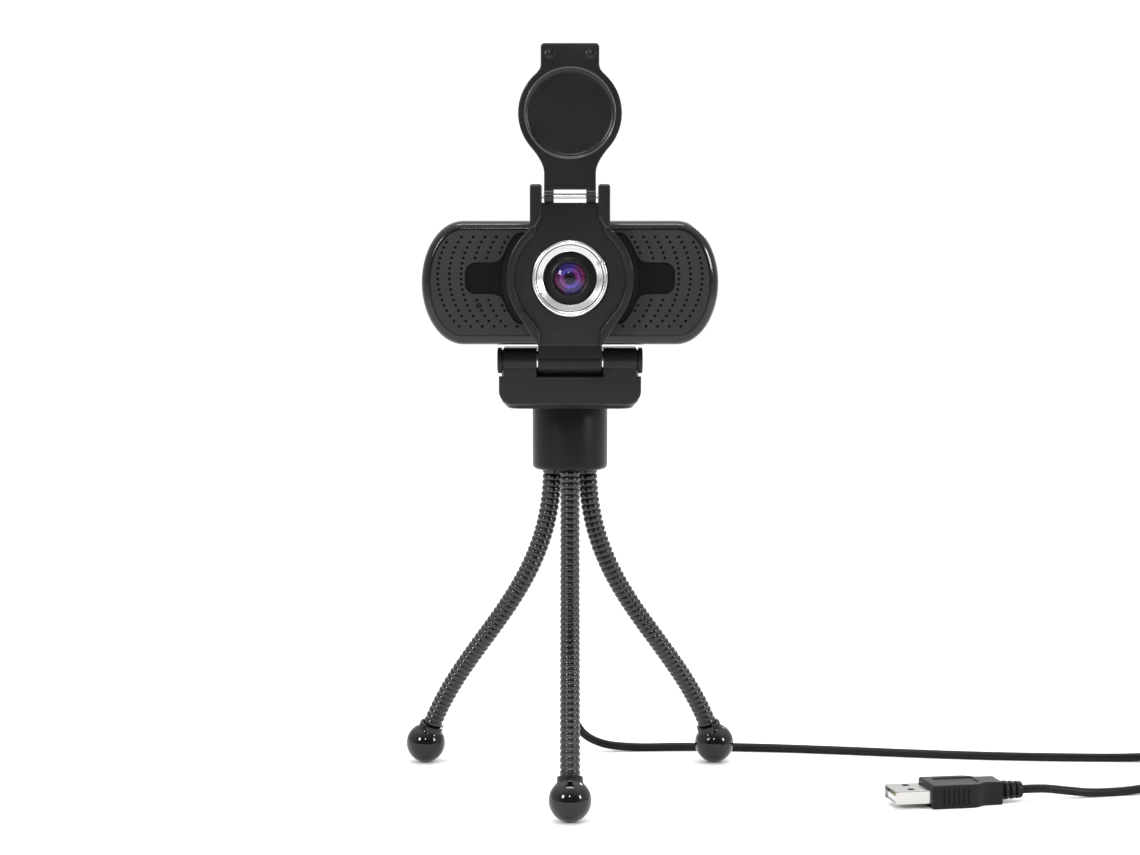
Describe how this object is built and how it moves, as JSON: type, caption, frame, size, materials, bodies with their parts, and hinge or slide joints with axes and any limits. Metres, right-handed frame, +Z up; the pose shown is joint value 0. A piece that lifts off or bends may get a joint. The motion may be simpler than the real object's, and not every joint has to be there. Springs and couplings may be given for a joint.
{
  "type": "webcam on mini tripod",
  "caption": "Small camera with a flip-up lens cover on a tilting, folding clip, screwed to a mini tripod with gooseneck legs and a USB lead.",
  "frame": {"origin": "middle of the footprint of the webcam and its tripod, on the floor", "axes": "+Z up, +Y from the lens to the back, +X to the right as seen from the front"},
  "size_m": [0.3116, 0.117, 0.2496],
  "materials": {
    "gloss_shell": "gloss",
    "gloss_trim": "gloss",
    "grey_panel": "fine moulded grain",
    "frame_plastic": "satin",
    "bright_ring": "turned",
    "lens_black": "satin",
    "coated_glass": "coated",
    "inner_black": "matte",
    "sensor_glass": "gloss",
    "circuit_board": "gloss",
    "steel": "machined",
    "socket_plastic": "satin",
    "clip_plastic": "satin",
    "soft_black": "soft",
    "cover_plastic": "satin",
    "pad_rubber": "matte",
    "cap_plastic": "gloss",
    "brass": "machined",
    "hub_plastic": "satin",
    "leg_black": "gloss",
    "foot_black": "gloss",
    "plug_plastic": "fine grain",
    "nickel": "plated",
    "tongue_plastic": "satin",
    "gold": "plated",
    "tie_strap": "matte",
    "lead_jacket": "satin"
  },
  "bodies": {
    "base": {"clip_base": "clip_plastic", "base_pad": "pad_rubber", "base_cover": "inner_black", "base_screws": "steel", "thread_insert": "brass", "fold_pin": "steel", "fold_caps": "cap_plastic", "hub_shell": "hub_plastic", "tripod_screw": "steel", "hub_plate": "inner_black", "hub_plate_screw": "steel", "lead_lower": "lead_jacket", "lead_coil": "lead_jacket", "lead_tail": "lead_jacket", "coil_tie": "tie_strap", "plug_relief": "soft_black", "plug_body": "plug_plastic", "plug_shell": "nickel", "plug_tongue": "tongue_plastic", "plug_contacts": "gold"},
    "arm": {"clip_arm": "clip_plastic", "arm_pad": "pad_rubber", "tilt_pin": "steel", "tilt_caps": "cap_plastic", "tilt_washers": "steel", "lead_middle": "lead_jacket"},
    "head": {"front_shell": "gloss_shell", "rear_shell": "gloss_shell", "face_trim": "gloss_trim", "face_panel": "grey_panel", "cover_frame": "frame_plastic", "lens_ring": "bright_ring", "lens_barrel": "lens_black", "lens_glass": "coated_glass", "lens_rear_element": "coated_glass", "lens_holder": "inner_black", "image_sensor": "sensor_glass", "main_board": "circuit_board", "board_screws": "steel", "shell_screws": "steel", "microphone": "steel", "lead_socket": "socket_plastic", "head_neck": "clip_plastic", "cable_gland": "soft_black", "cover_pin": "steel", "lead_upper": "lead_jacket"},
    "cover": {"privacy_cover": "cover_plastic"},
    "leg_front": {"leg_front": "leg_black", "leg_core_front": "steel", "foot_front": "foot_black"},
    "leg_right": {"leg_right": "leg_black", "leg_core_right": "steel", "foot_right": "foot_black"},
    "leg_left": {"leg_left": "leg_black", "leg_core_left": "steel", "foot_left": "foot_black"}
  },
  "joints": [
    {"name": "clip_fold", "type": "hinge", "parent": "base", "child": "arm", "pos_m": [0, 0.043, 0.1408], "axis": [-1, 0, 0], "range_deg": [0, 100], "deforming": ["lead_middle"]},
    {"name": "head_tilt", "type": "hinge", "parent": "arm", "child": "head", "pos_m": [0, -0.014, 0.1476], "axis": [1, 0, 0], "range_deg": [-20, 90], "deforming": ["lead_upper"]},
    {"name": "cover_hinge", "type": "hinge", "parent": "head", "child": "cover", "pos_m": [0, -0.0393, 0.20125], "axis": [1, 0, 0], "range_deg": [0, 180]},
    {"name": "leg_bend_front", "type": "hinge", "parent": "base", "child": "leg_front", "pos_m": [0, 0.00795, 0.109], "axis": [-1, 0, 0], "range_deg": [-15, 15]},
    {"name": "leg_bend_right", "type": "hinge", "parent": "base", "child": "leg_right", "pos_m": [0.00611, 0.01852, 0.109], "axis": [0.5, -0.866, 0], "range_deg": [-15, 15]},
    {"name": "leg_bend_left", "type": "hinge", "parent": "base", "child": "leg_left", "pos_m": [-0.00611, 0.01852, 0.109], "axis": [0.5, 0.866, 0], "range_deg": [-15, 15]}
  ]
}
